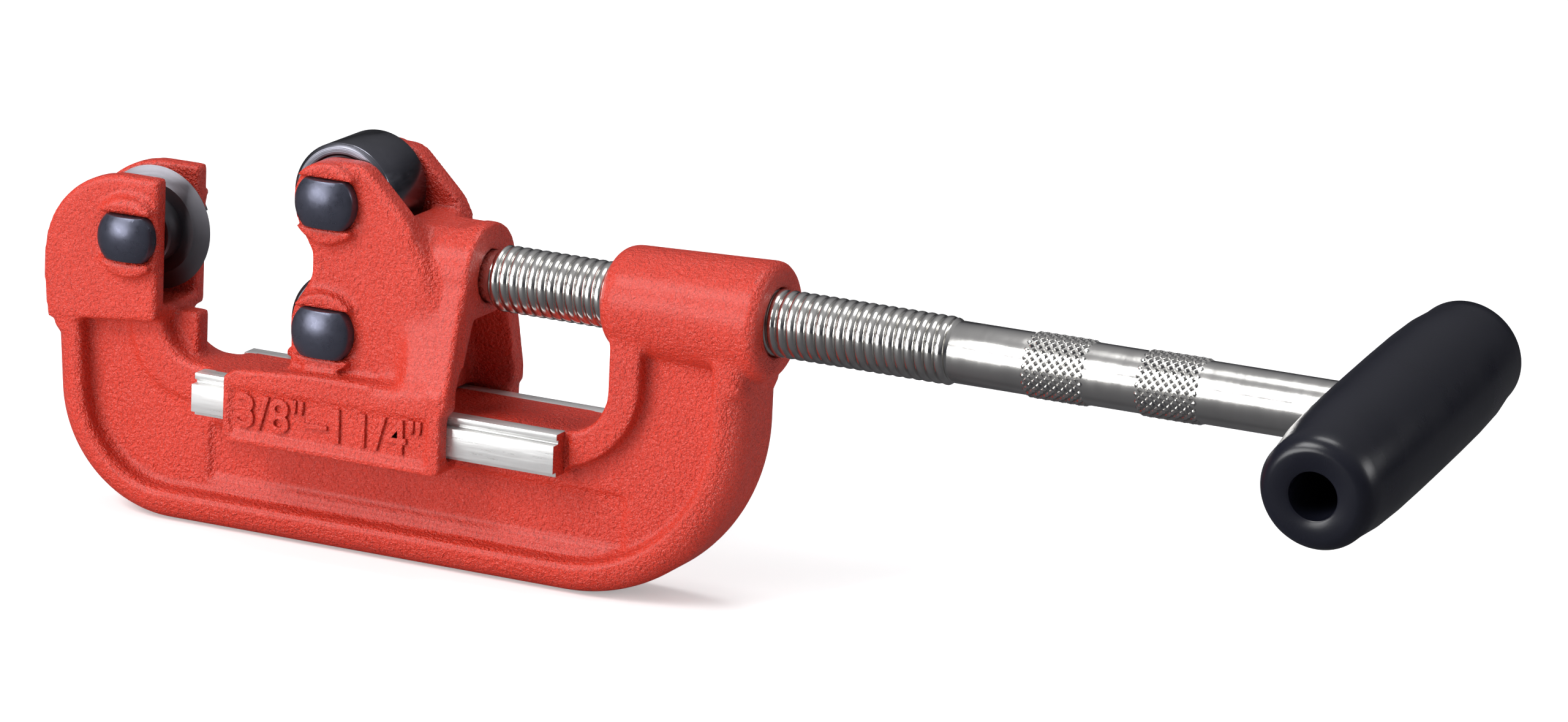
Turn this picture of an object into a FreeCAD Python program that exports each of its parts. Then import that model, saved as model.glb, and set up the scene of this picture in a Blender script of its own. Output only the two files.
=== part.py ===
import FreeCAD, Part
import math
import os
import re
import Sketcher

# Pipe cutter. X runs along the spindle towards the handle, Y across the
# tool, Z up. The origin is the centre of the cutting wheel.

doc = FreeCAD.newDocument("PipeCutter")
sheet = doc.addObject("Spreadsheet::Sheet", "Sizes")

sizes = (
    ("wheel_radius", 12.25, "cutting wheel, over its edge"),
    ("wheel_body", 1.1, "half thickness of the disc behind its bevel"),
    ("wheel_bevel", 3.2, "radial height of the cutting bevel"),
    ("hub_radius", 6.6, "wheel hub"),
    ("hub_half", 5.7, "half length of the wheel hub"),
    ("slot_half", 5.95, "half width of the wheel slot in the head"),
    ("slot_gap", 1.5, "air round the wheel in its slot"),
    ("pin_radius", 4.0, "all three pins"),
    ("pin_fit", 0.04, "radial clearance of what turns on a pin"),
    ("cutter_head_radius", 6.0, "head of the cutter pin"),
    ("cutter_head_flat", 4.4, "half distance over its flats"),
    ("roller_head_radius", 6.3, "head of a roller pin"),
    ("roller_head_flat", 4.65, "half distance over its flats"),
    ("head_side", 2.4, "cylindrical part of a pin head"),
    ("head_dome", 2.0, "height of the dome on a pin head"),
    ("flat_gap", 0.15, "gap between a pin head's flats and the ridges"),
    ("clip_radius", 5.8, "retaining ring, outside"),
    ("clip_thick", 1.0, "retaining ring"),
    ("clip_groove", 0.6, "depth of its groove in a pin"),
    ("pin_tail", 1.4, "pin beyond its retaining ring"),
    ("head_half", 9.75, "half thickness of the head"),
    ("head_left", 19.3, "head, left of the wheel axis"),
    ("head_right", 6.0, "head, right of the wheel axis"),
    ("head_top", 10.6, "head, above the wheel axis"),
    ("head_round", 17.5, "round of the head's top corner"),
    ("head_foot", 17.4, "step under the head at its right"),
    ("head_drop", 1.9, "how much lower the step is at the left"),
    ("wheel_drop", 1.1, "wheel axis below the spindle axis"),
    ("ring_gap", 0.4, "air round a retaining ring between the ridges"),
    ("ridge_radius", 7.9, "half-moon ridges beside a pin head"),
    ("ridge_height", 2.2, "how far they stand out"),
    ("arm_left", 18.0, "left arm, left of the wheel axis"),
    ("arm_lean", 2.6, "how far the left arm leans in at its foot"),
    ("throat_right", 5.6, "right side of the left arm"),
    ("base_top", 25.4, "top of the base below the spindle axis"),
    ("base_bottom", 57.3, "underside of the base"),
    ("throat_round", 8.5, "inner corner at the left arm"),
    ("window_round", 9.0, "inner corner at the right arm"),
    ("left_round", 25.0, "outer bottom corner, left"),
    ("right_round", 37.0, "outer bottom corner, right"),
    ("arm_inner", 103.2, "right arm, side of the window"),
    ("arm_outer", 131.4, "right arm, outside"),
    ("rim_half", 9.3, "half thickness of the outer rim"),
    ("rim_width", 6.6, "width of the outer rim"),
    ("rim_right", 6.6, "width of the rim on the right arm"),
    ("flange_half", 8.5, "half thickness of the window flange"),
    ("flange_width", 6.6, "width of the window flange"),
    ("web_half", 5.2, "half thickness of the web"),
    ("rim_round", 2.8, "round of the rim's outer edges"),
    ("rim_inner_round", 1.2, "round of its inner edges"),
    ("flange_round", 18.6, "outer corner of the flange at the right arm"),
    ("flange_base", 7.4, "height of the flange along the base"),
    ("throat_half", 6.3, "half thickness of the band round the throat"),
    ("throat_width", 7.0, "width of that band"),
    ("fin_half", 2.2, "half thickness of the fin under the wheel"),
    ("fin_right", 11.4, "right side of the fin"),
    ("fin_top", 16.2, "top of the fin below the wheel axis"),
    ("rail_left", 16.1, "left end of the rails"),
    ("rail_length", 78.5, "length of the rails"),
    ("rail_half", 12.6, "half width over the main faces of the rails"),
    ("rail_strip", 1.3, "height of the strip along the top"),
    ("rail_strip_step", 1.2, "how far the strip stands back"),
    ("rail_groove", 0.7, "height of the groove under the strip"),
    ("rail_groove_deep", 2.0, "depth of that groove"),
    ("rail_face", 5.5, "height of the main face"),
    ("rail_foot", 0.9, "height of the lower step"),
    ("rail_foot_step", 1.4, "how far the lower step stands back"),
    ("plate_left", 16.0, "name panel, left end"),
    ("plate_length", 90.4, "name panel"),
    ("plate_top", 36.9, "top of the name panel below the spindle axis"),
    ("plate_height", 11.2, "name panel"),
    ("plate_deep", 1.0, "depth of the name panel"),
    ("boss_left", 100.4, "left end of the threaded boss"),
    ("boss_length", 33.9, "threaded boss"),
    ("boss_radius_left", 10.2, "boss radius at its left end"),
    ("boss_radius_right", 11.45, "boss radius at its right end"),
    ("boss_nose", 4.0, "round of the boss's left end"),
    ("boss_edge", 1.3, "bevel of the boss's right end"),
    ("thread_radius", 6.4, "spindle thread, over its crests"),
    ("thread_fit", 0.06, "radial clearance in the boss"),
    ("thread_left", 75.8, "start of the thread"),
    ("thread_length", 95.4, "length of the thread"),
    ("rod_radius", 5.83, "smooth part of the spindle"),
    ("knurl_first", 185.2, "left end of the first knurled band"),
    ("knurl_second", 207.6, "left end of the second knurled band"),
    ("knurl_length", 13.2, "each knurled band"),
    ("knurl_height", 0.18, "how far the knurls stand out"),
    ("neck_radius", 5.0, "plain neck in the slider"),
    ("neck_fit", 0.05, "radial clearance of the neck"),
    ("neck_gap", 0.5, "gap from the slider to the thread"),
    ("handle_axis", 256.0, "grip axis, from the wheel axis"),
    ("spindle_past", 6.5, "spindle beyond the grip axis"),
    ("roller_axis", 45.0, "roller axes, from the wheel axis"),
    ("roller_rise", 12.65, "roller axes above and below the spindle"),
    ("roller_radius", 10.5, "roller"),
    ("roller_half", 7.65, "half length of a roller"),
    ("roller_edge", 0.7, "chamfer of a roller's end"),
    ("roller_dish", 0.4, "depth of the turned recess in its end"),
    ("roller_land", 1.5, "width of the plain ring outside that recess"),
    ("roller_hub", 5.6, "inner radius of that recess"),
    ("cheek_gap", 0.3, "gap from a roller to a cheek"),
    ("cheek_half", 12.4, "half thickness over the cheeks"),
    ("cheek_left", 7.6, "cheek, left of the roller axes"),
    ("cheek_notch", 3.5, "how far the notch stands in from the axes"),
    ("notch_half", 2.4, "half height of the notch at its root"),
    ("cheek_top", 8.1, "cheek above the upper roller axis"),
    ("cheek_round", 8.0, "round of the upper lobe"),
    ("shoulder_in", 16.5, "cheek shoulder, right of the roller axes"),
    ("shoulder_up", 11.6, "its height above the spindle axis"),
    ("cheek_right", 22.6, "cheek foot, right of the roller axes"),
    ("slider_ridge", 2.0, "how far the ridges stand out of a cheek"),
    ("housing_half", 10.3, "half width of the spindle housing"),
    ("housing_right", 73.8, "right face of the spindle housing"),
    ("housing_lean", 0.4, "how far the legs stand back from that face"),
    ("leg_length", 11.5, "length of the flared legs"),
    ("leg_wall", 4.2, "thickness of the flared legs"),
    ("hollow_top", 7.6, "top of the hollow between the legs"),
    ("hollow_deep", 9.5, "depth of that hollow from the right face"),
    ("valley_floor", 9.4, "floor of the valley behind the upper roller"),
    ("housing_wall", 2.6, "wall between roller space and spindle bore"),
    ("skirt_left", 25.2, "left end of the skirt"),
    ("skirt_length", 47.2, "length of the skirt"),
    ("skirt_half", 16.5, "half width over the skirt"),
    ("skirt_top", 22.0, "top of the skirt below the spindle axis"),
    ("skirt_bottom", 36.3, "foot of the skirt"),
    ("saddle_rise", 1.6, "slope of the skirt's top"),
    ("hook_half", 8.8, "half gap between the hooks"),
    ("rail_gap", 0.2, "gap between slider and rails"),
    ("panel_edge", 1.3, "border round the size panel"),
    ("panel_top", 25.2, "top of the size panel"),
    ("panel_height", 9.6, "size panel"),
    ("panel_deep", 0.7, "depth of the size panel"),
    ("disc_thick", 2.0, "thrust disc"),
    ("keeper_radius", 1.5, "keeper pin"),
    ("keeper_offset", 6.5, "keeper pin, from the housing's right face"),
    ("keeper_reach", 7.0, "its hole, past the spindle axis"),
    ("keeper_sunk", 0.9, "its far end, outside the housing"),
    ("groove_half", 1.8, "half width of the neck groove"),
    ("groove_fit", 0.12, "gap from the neck groove to the keeper pin"),
    ("grip_half", 39.8, "half length of the grip"),
    ("grip_radius", 12.05, "grip at its middle"),
    ("grip_shoulder", 11.0, "grip where its ends begin to round"),
    ("grip_nose", 5.5, "length of the rounded ends"),
    ("grip_face", 8.7, "flat end face of the grip"),
    ("grip_bore", 4.5, "bore along the grip"),
    ("grip_turn", 6.5, "turn of the grip at rest, in degrees"),
)

values = {}
for number, (name, size, note) in enumerate(sizes, start=1):
    sheet.set("A%d" % number, note)
    sheet.set("B%d" % number, str(size))
    sheet.setAlias("B%d" % number, name)
    values[name] = size
doc.recompute()


def bound(text):
    """Expression with each size taken from the sheet."""
    return re.sub(r"([a-z][a-z_]+)", r"Sizes.\1", text)


def number(text):
    """Value of a sum of sizes, each of which may have one factor."""
    total = 0.0
    for sign, term in re.findall(r"([+-]?)\s*([^+\-\s]+)", text):
        factors = term.split("*")
        product = 1.0
        for factor in factors:
            product *= values[factor] if factor in values else float(factor)
        total += -product if sign == "-" else product
    return total


def newBody(label):
    body = doc.addObject("PartDesign::Body", label)
    body.Label = label
    return body


def newSketch(body, role, name, offset=None):
    sketch = body.newObject("Sketcher::SketchObject", name)
    planes = [item for item in body.Origin.OriginFeatures if item.Role == role]
    sketch.AttachmentSupport = [(planes[0], "")]
    sketch.MapMode = "FlatFace"
    if offset is not None:
        sketch.setExpression("AttachmentOffset.Base.z", bound(offset))
    return sketch


def place(sketch, geo, point, across, up):
    """Hold one point of the sketch at two sizes."""
    index = sketch.addConstraint(
        Sketcher.Constraint("DistanceX", -1, 1, geo, point, number(across)))
    sketch.setExpression("Constraints[%d]" % index, bound(across))
    index = sketch.addConstraint(
        Sketcher.Constraint("DistanceY", -1, 1, geo, point, number(up)))
    sketch.setExpression("Constraints[%d]" % index, bound(up))


def outline(body, role, name, corners, offset=None):
    """Closed outline; a corner with a third entry is rounded to that radius."""
    sketch = newSketch(body, role, name, offset)
    count = len(corners)
    spots = [FreeCAD.Vector(number(c[0]), number(c[1]), 0) for c in corners]
    starts = []
    ends = []
    for i in range(count):
        here = spots[i]
        into = (here - spots[i - 1]).normalize()
        out = (spots[(i + 1) % count] - here).normalize()
        if len(corners[i]) > 2:
            turn = math.acos(max(-1.0, min(1.0, into.dot(out))))
            back = number(corners[i][2]) * math.tan(turn / 2)
            starts.append(here - into * back)
            ends.append(here + out * back)
        else:
            starts.append(here)
            ends.append(here)
    lines = []
    for i in range(count):
        segment = Part.LineSegment(ends[i], starts[(i + 1) % count])
        lines.append(sketch.addGeometry(segment, False))
    for i in range(count):
        before = lines[i - 1]
        after = lines[i]
        if len(corners[i]) == 2:
            sketch.addConstraint(Sketcher.Constraint("Coincident", before, 2, after, 1))
            place(sketch, after, 1, corners[i][0], corners[i][1])
            continue
        radius = number(corners[i][2])
        into = (starts[i] - ends[i - 1]).normalize()
        out = (starts[(i + 1) % count] - ends[i]).normalize()
        left = into.x * out.y - into.y * out.x > 0
        side = 1 if left else -1
        centre = starts[i] + FreeCAD.Vector(-into.y, into.x, 0) * radius * side
        first = starts[i] if left else ends[i]
        last = ends[i] if left else starts[i]
        angleA = math.atan2(first.y - centre.y, first.x - centre.x)
        angleB = math.atan2(last.y - centre.y, last.x - centre.x)
        circle = Part.Circle(centre, FreeCAD.Vector(0, 0, 1), radius)
        arc = sketch.addGeometry(Part.ArcOfCircle(circle, angleA, angleB), False)
        nearEnd = 1 if left else 2
        farEnd = 2 if left else 1
        mark = sketch.addGeometry(Part.Point(spots[i]), True)
        place(sketch, mark, 1, corners[i][0], corners[i][1])
        sketch.addConstraint(Sketcher.Constraint("PointOnObject", mark, 1, before))
        sketch.addConstraint(Sketcher.Constraint("PointOnObject", mark, 1, after))
        sketch.addConstraint(Sketcher.Constraint("Tangent", before, 2, arc, nearEnd))
        sketch.addConstraint(Sketcher.Constraint("Tangent", arc, farEnd, after, 1))
        index = sketch.addConstraint(Sketcher.Constraint("Radius", arc, radius))
        sketch.setExpression("Constraints[%d]" % index, bound(corners[i][2]))
    return sketch


def disc(body, role, name, across, up, radius, offset=None):
    """Sketch with one circle."""
    sketch = newSketch(body, role, name, offset)
    centre = FreeCAD.Vector(number(across), number(up), 0)
    circle = Part.Circle(centre, FreeCAD.Vector(0, 0, 1), number(radius))
    geo = sketch.addGeometry(circle, False)
    place(sketch, geo, 3, across, up)
    index = sketch.addConstraint(Sketcher.Constraint("Radius", geo, number(radius)))
    sketch.setExpression("Constraints[%d]" % index, bound(radius))
    return sketch


def pad(body, sketch, half):
    """Pad to both sides of the sketch."""
    feature = body.newObject("PartDesign::Pad", sketch.Name + "Pad")
    feature.Profile = sketch
    feature.SideType = "Symmetric"
    feature.setExpression("Length", "2 * (" + bound(half) + ")")
    sketch.Visibility = False
    return feature


def padOneWay(body, sketch, length, reverse=False):
    feature = body.newObject("PartDesign::Pad", sketch.Name + "Pad")
    feature.Profile = sketch
    feature.Reversed = reverse
    feature.setExpression("Length", bound(length))
    return feature


def cut(body, sketch, half=None, reach=None, reverse=False):
    """Pocket to both sides, or from the sketch one way; it has to remove metal."""
    doc.recompute()
    before = body.Shape.Volume
    feature = body.newObject("PartDesign::Pocket", sketch.Name + "Cut")
    feature.Profile = sketch
    if half is not None:
        feature.SideType = "Symmetric"
        feature.setExpression("Length", "2 * (" + bound(half) + ")")
    else:
        feature.Reversed = reverse
        feature.setExpression("Length", bound(reach))
    doc.recompute()
    if not body.Shape.Volume < before - 0.01:
        raise RuntimeError("no metal removed by " + feature.Name)
    return feature


def spin(body, sketch, axis):
    feature = body.newObject("PartDesign::Revolution", sketch.Name + "Spin")
    feature.Profile = sketch
    feature.ReferenceAxis = (sketch, [axis])
    feature.Angle = 360
    return feature


def groove(body, sketch, axis):
    doc.recompute()
    before = body.Shape.Volume
    feature = body.newObject("PartDesign::Groove", sketch.Name + "Groove")
    feature.Profile = sketch
    feature.ReferenceAxis = (sketch, [axis])
    feature.Angle = 360
    doc.recompute()
    if not body.Shape.Volume < before - 0.01:
        raise RuntimeError("no metal removed by " + feature.Name)
    return feature


def mirrored(text):
    """The same sum of sizes with its sign changed."""
    swapped = ""
    for sign, term in re.findall(r"([+-]?)\s*([^+\-\s]+)", text):
        swapped += (" + " if sign == "-" else " - ") + term
    return swapped.strip()


front = "XZ_Plane"
top = "XY_Plane"
side = "YZ_Plane"

# ---- frame casting ---------------------------------------------------------

frame = newBody("frame")

# raised outer rim
rimCorners = (
    ("-arm_left", "-head_foot - head_drop"),
    ("-arm_left + arm_lean", "-base_bottom", "left_round"),
    ("arm_outer", "-base_bottom", "right_round"),
    ("arm_outer", "-boss_radius_right*0.5"),
    ("arm_outer - rim_right", "-boss_radius_right*0.5"),
    ("arm_outer - rim_right", "-base_bottom + rim_width", "right_round - rim_right"),
    ("-arm_left + arm_lean + rim_width", "-base_bottom + rim_width", "left_round - rim_width"),
    ("-arm_left + rim_width", "-head_foot - head_drop"),
)
rimPad = pad(frame, outline(frame, front, "FrameRim", rimCorners), "rim_half")


def rimEdges(feature, outside):
    """Long edges on the rim's two faces, along its outside or its inside."""
    doc.recompute()
    middle = FreeCAD.Vector(values["arm_inner"] / 2, 0, -values["base_top"] / 2)
    found = []
    for index, edge in enumerate(feature.Shape.Edges, start=1):
        tips = [vertex.Point for vertex in edge.Vertexes]
        onFace = all(abs(abs(point.y) - values["rim_half"]) < 0.001 for point in tips)
        atEnd = all(point.z > -values["head_foot"] - values["head_drop"] - 0.01 for point in tips)
        across = abs(tips[0].y - tips[-1].y) > 0.001
        if not onFace or atEnd or across:
            continue
        spot = edge.valueAt((edge.FirstParameter + edge.LastParameter) / 2)
        spot.y = 0
        away = (spot - middle).normalize()
        if feature.Shape.isInside(spot + away * 0.8, 0.001, True) != outside:
            found.append("Edge%d" % index)
    return found


rimInner = frame.newObject("PartDesign::Fillet", "FrameRimInner")
rimInner.Base = (rimPad, rimEdges(rimPad, False))
rimInner.setExpression("Radius", bound("rim_inner_round"))
rimOuter = frame.newObject("PartDesign::Fillet", "FrameRimOuter")
rimOuter.Base = (rimInner, rimEdges(rimInner, True))
rimOuter.setExpression("Radius", bound("rim_round"))
doc.recompute()

# the web fills the C inside the rim
webCorners = (
    ("-arm_left + rim_width*0.5", "-head_foot - head_drop"),
    ("-arm_left + arm_lean + rim_width*0.5", "-base_bottom + rim_width*0.5", "left_round - rim_width*0.5"),
    ("arm_outer - rim_right*0.5", "-base_bottom + rim_width*0.5", "right_round - rim_right*0.5"),
    ("arm_outer - rim_right*0.5", "-boss_radius_right*0.5"),
    ("arm_inner", "-boss_radius_left*0.5"),
    ("arm_inner", "-base_top", "window_round"),
    ("throat_right", "-base_top", "throat_round"),
    ("throat_right", "-head_foot + 1"),
    ("-arm_left + rim_width*0.5", "-head_foot + 1"),
)
pad(frame, outline(frame, front, "FrameWeb", webCorners), "web_half")

# flange round the window, along the base and up the right arm
flangeCorners = (
    ("arm_inner", "-boss_radius_left*0.5"),
    ("arm_inner", "-base_top", "window_round"),
    ("rail_left", "-base_top"),
    ("rail_left", "-base_top - flange_base"),
    ("arm_inner + flange_width", "-base_top - flange_base", "flange_round"),
    ("arm_inner + flange_width", "-boss_radius_left*0.5"),
)
pad(frame, outline(frame, front, "FrameFlange", flangeCorners), "flange_half")

# lower band round the throat, from the head to the base
throatCorners = (
    ("throat_right", "-head_foot"),
    ("throat_right", "-base_top", "throat_round - 0.6"),
    ("rail_left + 2", "-base_top"),
    ("rail_left + 2", "-base_top - flange_base + 0.5"),
    ("throat_right - throat_width", "-base_top - flange_base + 0.5", "throat_round + 4.5"),
    ("throat_right - throat_width", "-head_foot"),
)
pad(frame, outline(frame, front, "FrameThroat", throatCorners), "throat_half")

# head block with both cheeks
headCorners = (
    ("-head_left", "-head_foot*0.7"),
    ("-arm_left - 0.4", "-head_foot - head_drop - 0.6"),
    ("head_right", "-head_foot"),
    ("head_right", "head_top"),
    ("-head_left", "head_top", "head_round"),
)
pad(frame, outline(frame, front, "FrameHead", headCorners), "head_half")

ridge = disc(frame, front, "FrameRidge", "0", "-wheel_drop", "ridge_radius")
pad(frame, ridge, "head_half + ridge_height")
ridgeEdge = (
    ("head_right - 0.7", "-ridge_radius - 1"),
    ("head_right + ridge_radius", "-ridge_radius - 1"),
    ("head_right + ridge_radius", "ridge_radius + 1"),
    ("head_right - 0.7", "ridge_radius + 1"),
)
for name, level, flip in (("Front", "head_half", True), ("Back", "-head_half", False)):
    cut(frame, outline(frame, front, "HeadRidgeTrim" + name, ridgeEdge, level),
        reach="ridge_height + 1", reverse=flip)
headSide = (
    ("head_right", "-ridge_radius - 1"),
    ("head_right + ridge_radius", "-ridge_radius - 1"),
    ("head_right + ridge_radius", "ridge_radius + 1"),
    ("head_right", "ridge_radius + 1"),
)
cut(frame, outline(frame, front, "HeadSide", headSide), half="head_half + 1")

# fin under the wheel
finCorners = (
    ("throat_right - 2", "-base_top - 1"),
    ("fin_right", "-base_top - 1"),
    ("fin_right", "-fin_top"),
    ("throat_right - 2", "-fin_top"),
)
pad(frame, outline(frame, front, "FrameFin", finCorners), "fin_half")

# rails: a strip, a groove, the main face and a lower step on each side
stripDeep = "rail_half - rail_strip_step"
grooveDeep = "rail_half - rail_groove_deep"
footDeep = "rail_half - rail_foot_step"
levelA = "-base_top - rail_strip"
levelB = levelA + " - rail_groove"
levelC = levelB + " - rail_face"
levelD = levelC + " - rail_foot"
railCorners = (
    (mirrored(stripDeep), "-base_top"),
    (stripDeep, "-base_top"),
    (stripDeep, levelA),
    (grooveDeep, levelA),
    (grooveDeep, levelB),
    ("rail_half", levelB),
    ("rail_half", levelC),
    (footDeep, levelC),
    (footDeep, levelD),
    (mirrored(footDeep), levelD),
    (mirrored(footDeep), levelC),
    ("-rail_half", levelC),
    ("-rail_half", levelB),
    (mirrored(grooveDeep), levelB),
    (mirrored(grooveDeep), levelA),
    (mirrored(stripDeep), levelA),
)
rails = outline(frame, side, "FrameRails", railCorners, "rail_left")
padOneWay(frame, rails, "rail_length")

# threaded boss, wider to the right
bossCorners = (
    ("boss_left", "0"),
    ("boss_left", "boss_radius_left", "boss_nose"),
    ("boss_left + boss_length - boss_edge", "boss_radius_right"),
    ("boss_left + boss_length", "boss_radius_right - boss_edge"),
    ("boss_left + boss_length", "0"),
)
spin(frame, outline(frame, front, "FrameBoss", bossCorners), "H_Axis")

# wheel slot, open above and to the right
slotCorners = (
    ("-wheel_radius - slot_gap", "-wheel_radius - slot_gap - wheel_drop", "wheel_radius"),
    ("head_right + 5", "-wheel_radius - slot_gap - wheel_drop"),
    ("head_right + 5", "head_top + 5"),
    ("-wheel_radius - slot_gap", "head_top + 5"),
)
cut(frame, outline(frame, front, "WheelSlot", slotCorners), half="slot_half")

pinHole = disc(frame, front, "CutterPinHole", "0", "-wheel_drop", "pin_radius")
cut(frame, pinHole, half="head_half + ridge_height + 1")

# the pin head sits between two half-moon ridges
seatCorners = (
    ("-ridge_radius - 1", "-cutter_head_flat - flat_gap - wheel_drop"),
    ("ridge_radius + 1", "-cutter_head_flat - flat_gap - wheel_drop"),
    ("ridge_radius + 1", "cutter_head_flat + flat_gap - wheel_drop"),
    ("-ridge_radius - 1", "cutter_head_flat + flat_gap - wheel_drop"),
)
for name, reach, reverse in (("SeatFront", "head_half", False), ("SeatBack", "-head_half", True)):
    seat = outline(frame, front, "Cutter" + name, seatCorners, reach)
    cut(frame, seat, reach="ridge_height + 2", reverse=not reverse)
ringSeat = disc(frame, front, "CutterRingSeat", "0", "-wheel_drop", "clip_radius + ring_gap", "-head_half")
cut(frame, ringSeat, reach="ridge_height + 1")

spindleHole = disc(frame, side, "SpindleHole", "0", "0", "thread_radius + thread_fit", "boss_left - 5")
cut(frame, spindleHole, reach="boss_length + 10", reverse=True)

plateCorners = (
    ("plate_left", "-plate_top - plate_height", "1"),
    ("plate_left + plate_length", "-plate_top - plate_height", "1"),
    ("plate_left + plate_length", "-plate_top", "1"),
    ("plate_left", "-plate_top", "1"),
)
plate = outline(frame, front, "NamePlate", plateCorners, "web_half - plate_deep")
cut(frame, plate, reach="plate_deep + 1", reverse=True)

# ---- pins ------------------------------------------------------------------


def headedPin(label, across, up, seat, headRadius, headFlat):
    """Pin along Y: domed head with two flats in front, ring groove behind."""
    body = newBody(label)
    tip = "-" + seat + " - head_side - head_dome"
    tail = seat + " + clip_thick + pin_tail"
    profile = newSketch(body, top, label.title().replace("_", "") + "Profile")
    neck = "pin_radius - clip_groove"
    corners = (
        ("0", tip),
        (headRadius, "-" + seat + " - head_side"),
        (headRadius, "-" + seat),
        ("pin_radius", "-" + seat),
        ("pin_radius", seat),
        (neck, seat),
        (neck, seat + " + clip_thick"),
        ("pin_radius", seat + " + clip_thick"),
        ("pin_radius", tail + " - 0.5"),
        ("pin_radius - 0.5", tail),
        ("0", tail),
    )
    spots = [FreeCAD.Vector(number(c[0]), number(c[1]), 0) for c in corners]
    rise = number("head_dome")
    reach = number(headRadius)
    sphere = (reach * reach + rise * rise) / (2 * rise)
    centre = FreeCAD.Vector(0, spots[0].y + sphere, 0)
    angleA = -math.pi / 2
    angleB = math.atan2(spots[1].y - centre.y, spots[1].x)
    circle = Part.Circle(centre, FreeCAD.Vector(0, 0, 1), sphere)
    dome = profile.addGeometry(Part.ArcOfCircle(circle, angleA, angleB), False)
    place(profile, dome, 1, corners[0][0], corners[0][1])
    centreX = profile.addConstraint(Sketcher.Constraint("DistanceX", -1, 1, dome, 3, 0))
    profile.setExpression("Constraints[%d]" % centreX, "0")
    previous = (dome, 2)
    for i in range(1, len(corners)):
        last = i == len(corners) - 1
        target = spots[0] if last else spots[i + 1]
        line = profile.addGeometry(Part.LineSegment(spots[i], target), False)
        profile.addConstraint(Sketcher.Constraint("Coincident", *previous, line, 1))
        place(profile, line, 1, corners[i][0], corners[i][1])
        previous = (line, 2)
    profile.addConstraint(Sketcher.Constraint("Coincident", *previous, dome, 1))
    spin(body, profile, "V_Axis")
    for word, sign in (("Upper", ""), ("Lower", "-")):
        far = sign + headRadius + (" + 1" if not sign else " - 1")
        flat = (
            ("-" + headRadius + " - 1", sign + headFlat),
            (headRadius + " + 1", sign + headFlat),
            (headRadius + " + 1", far),
            ("-" + headRadius + " - 1", far),
        )
        flatName = label.title().replace("_", "") + word
        cut(body, outline(body, front, flatName, flat, seat), reach="head_side + head_dome + 1", reverse=True)
    body.setExpression("Placement.Base.x", bound(across))
    body.setExpression("Placement.Base.z", bound(up))
    return body


rollerSeat = "cheek_half"
cutterPin = headedPin("cutter_pin", "0", "-wheel_drop", "head_half", "cutter_head_radius", "cutter_head_flat")
pinUpper = headedPin("roller_pin_upper", "roller_axis", "roller_rise", rollerSeat,
                     "roller_head_radius", "roller_head_flat")
pinLower = headedPin("roller_pin_lower", "roller_axis", "-roller_rise", rollerSeat,
                     "roller_head_radius", "roller_head_flat")


def ring(name, across, up, seat):
    """Open retaining ring behind a cheek, as a cylinder less its hole and mouth."""
    outer = doc.addObject("Part::Cylinder", name + "Outer")
    inner = doc.addObject("Part::Cylinder", name + "Inner")
    mouth = doc.addObject("Part::Box", name + "Mouth")
    for cylinder, radius in ((outer, "clip_radius"), (inner, "pin_radius - clip_groove")):
        cylinder.setExpression("Radius", bound(radius))
        cylinder.setExpression("Height", bound("clip_thick"))
        cylinder.Placement.Rotation = FreeCAD.Rotation(FreeCAD.Vector(1, 0, 0), -90)
    mouth.setExpression("Length", bound("clip_radius"))
    mouth.setExpression("Width", bound("clip_thick"))
    mouth.setExpression("Height", bound("pin_radius"))
    tools = doc.addObject("Part::MultiFuse", name + "Tools")
    tools.Shapes = [inner, mouth]
    result = doc.addObject("Part::Cut", name)
    result.Base = outer
    result.Tool = tools
    mouth.setExpression("Placement.Base.z", "-" + bound("pin_radius") + " / 2")
    result.setExpression("Placement.Base.x", bound(across))
    result.setExpression("Placement.Base.y", bound(seat))
    result.setExpression("Placement.Base.z", bound(up))
    return result


cutterRing = ring("CutterRing", "0", "-wheel_drop", "head_half")
cutterRing.Label = "cutter_pin_clip"
ringUpper = ring("RollerRingUpper", "roller_axis", "roller_rise", rollerSeat)
ringLower = ring("RollerRingLower", "roller_axis", "-roller_rise", rollerSeat)
rollerRings = doc.addObject("Part::Compound", "RollerRings")
rollerRings.Links = [ringUpper, ringLower]
rollerRings.Label = "roller_pin_clips"

# ---- cutting wheel ---------------------------------------------------------

wheel = newBody("cutter_wheel")
wheelCorners = (
    ("pin_radius + pin_fit", "-hub_half"),
    ("hub_radius - 0.5", "-hub_half"),
    ("hub_radius", "-hub_half + 0.5"),
    ("hub_radius", "-wheel_body"),
    ("wheel_radius - wheel_bevel", "-wheel_body"),
    ("wheel_radius", "-0.08"),
    ("wheel_radius", "0.08"),
    ("wheel_radius - wheel_bevel", "wheel_body"),
    ("hub_radius", "wheel_body"),
    ("hub_radius", "hub_half - 0.5"),
    ("hub_radius - 0.5", "hub_half"),
    ("pin_radius + pin_fit", "hub_half"),
)
spin(wheel, outline(wheel, top, "WheelProfile", wheelCorners), "V_Axis")
wheel.setExpression("Placement.Base.z", bound("-wheel_drop"))

# ---- rollers ---------------------------------------------------------------


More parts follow.
